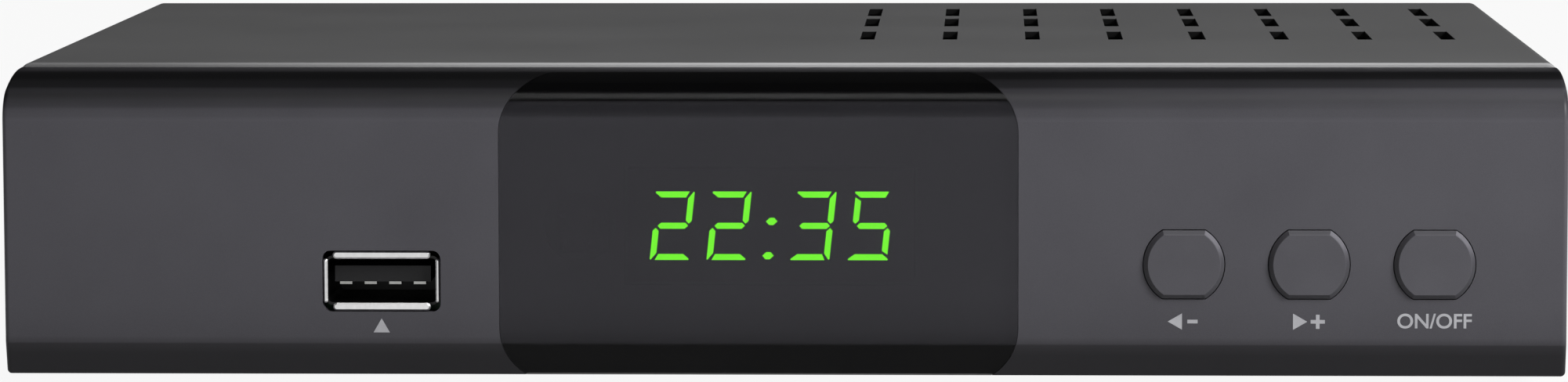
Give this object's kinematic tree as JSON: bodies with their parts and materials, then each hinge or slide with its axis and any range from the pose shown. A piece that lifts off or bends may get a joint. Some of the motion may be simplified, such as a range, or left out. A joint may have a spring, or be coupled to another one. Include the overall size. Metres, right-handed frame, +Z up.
{
  "type": "tv tuner",
  "caption": "Flat digital television tuner: moulded front panel with clock window, USB port and push buttons, on a vented sheet-steel case with aerial, picture, sound and power sockets behind.",
  "frame": {"origin": "on the surface that the feet stand on, under the middle of the box with its rear sockets", "axes": "+X to the right seen from the front, +Y from the front panel to the rear sockets, +Z up"},
  "size_m": [0.18, 0.1326, 0.0378],
  "materials": {
    "panel_plastic": "fine satin texture, dark warm grey",
    "button_plastic": "satin, dark grey",
    "smoked_window": "polished smoked acrylic",
    "case_paint": "fine-grained powder coat, dark grey",
    "foot_rubber": "matte",
    "screw_steel": "zinc plated",
    "switch_plastic": "matte black",
    "board_green": "solder resist",
    "display_housing": "matte black",
    "lit_green": "glowing yellow-green",
    "dark_segment": "unlit milky resin",
    "receiver_black": "dark infrared filter resin",
    "ribbon_grey": "vinyl",
    "connector_white": "off-white nylon",
    "nickel_plate": "bright nickel plate",
    "gold_contact": "gold flash",
    "tinned_steel": "tin plate",
    "chip_black": "moulded epoxy",
    "sink_aluminium": "anodised",
    "socket_black": "moulded black nylon",
    "coaxial_orange": "orange nylon"
  },
  "bodies": {
    "case": {"front_panel": "panel_plastic", "display_window": "smoked_window", "top_cover": "case_paint", "base_chassis": "case_paint", "rubber_feet": "foot_rubber", "cover_screws": "screw_steel", "front_board_screws": "screw_steel", "main_board_screws": "screw_steel", "board_standoffs": "screw_steel", "switch_bodies": "switch_plastic", "front_board": "board_green", "main_board": "board_green", "display_module": "display_housing", "display_lit_segments": "lit_green", "display_unlit_segments": "dark_segment", "infrared_receiver": "receiver_black", "ribbon_cable": "ribbon_grey", "front_ribbon_socket": "connector_white", "main_ribbon_socket": "connector_white", "aerial_insulator": "connector_white", "loop_insulator": "connector_white", "usb_shell": "nickel_plate", "hdmi_shell": "nickel_plate", "aerial_socket": "nickel_plate", "loop_sleeve": "nickel_plate", "coaxial_sleeve": "nickel_plate", "usb_contacts": "gold_contact", "aerial_contact": "gold_contact", "loop_pin": "gold_contact", "dc_pin": "gold_contact", "tuner_can": "tinned_steel", "crystal": "tinned_steel", "processor": "chip_black", "memory_chips": "chip_black", "power_inductors": "chip_black", "heat_sink": "sink_aluminium", "capacitors": "sink_aluminium", "usb_tongue": "socket_black", "scart_socket": "socket_black", "scart_insert": "socket_black", "hdmi_tongue": "socket_black", "coaxial_body": "socket_black", "dc_jack": "socket_black", "coaxial_insulator": "coaxial_orange"},
    "channel_down": {"channel_down_button": "button_plastic", "channel_down_plunger": "switch_plastic"},
    "channel_up": {"channel_up_button": "button_plastic", "channel_up_plunger": "switch_plastic"},
    "power": {"power_button": "button_plastic", "power_plunger": "switch_plastic"}
  },
  "joints": [
    {"name": "channel_down_press", "type": "slide", "parent": "case", "child": "channel_down", "axis": [0, 1, 0], "range_m": [0, 0.0004], "stiffness_N_per_m": 500, "springref_m": -0.002},
    {"name": "channel_up_press", "type": "slide", "parent": "case", "child": "channel_up", "axis": [0, 1, 0], "range_m": [0, 0.0004], "stiffness_N_per_m": 500, "springref_m": -0.002},
    {"name": "power_press", "type": "slide", "parent": "case", "child": "power", "axis": [0, 1, 0], "range_m": [0, 0.0004], "stiffness_N_per_m": 500, "springref_m": -0.002}
  ]
}
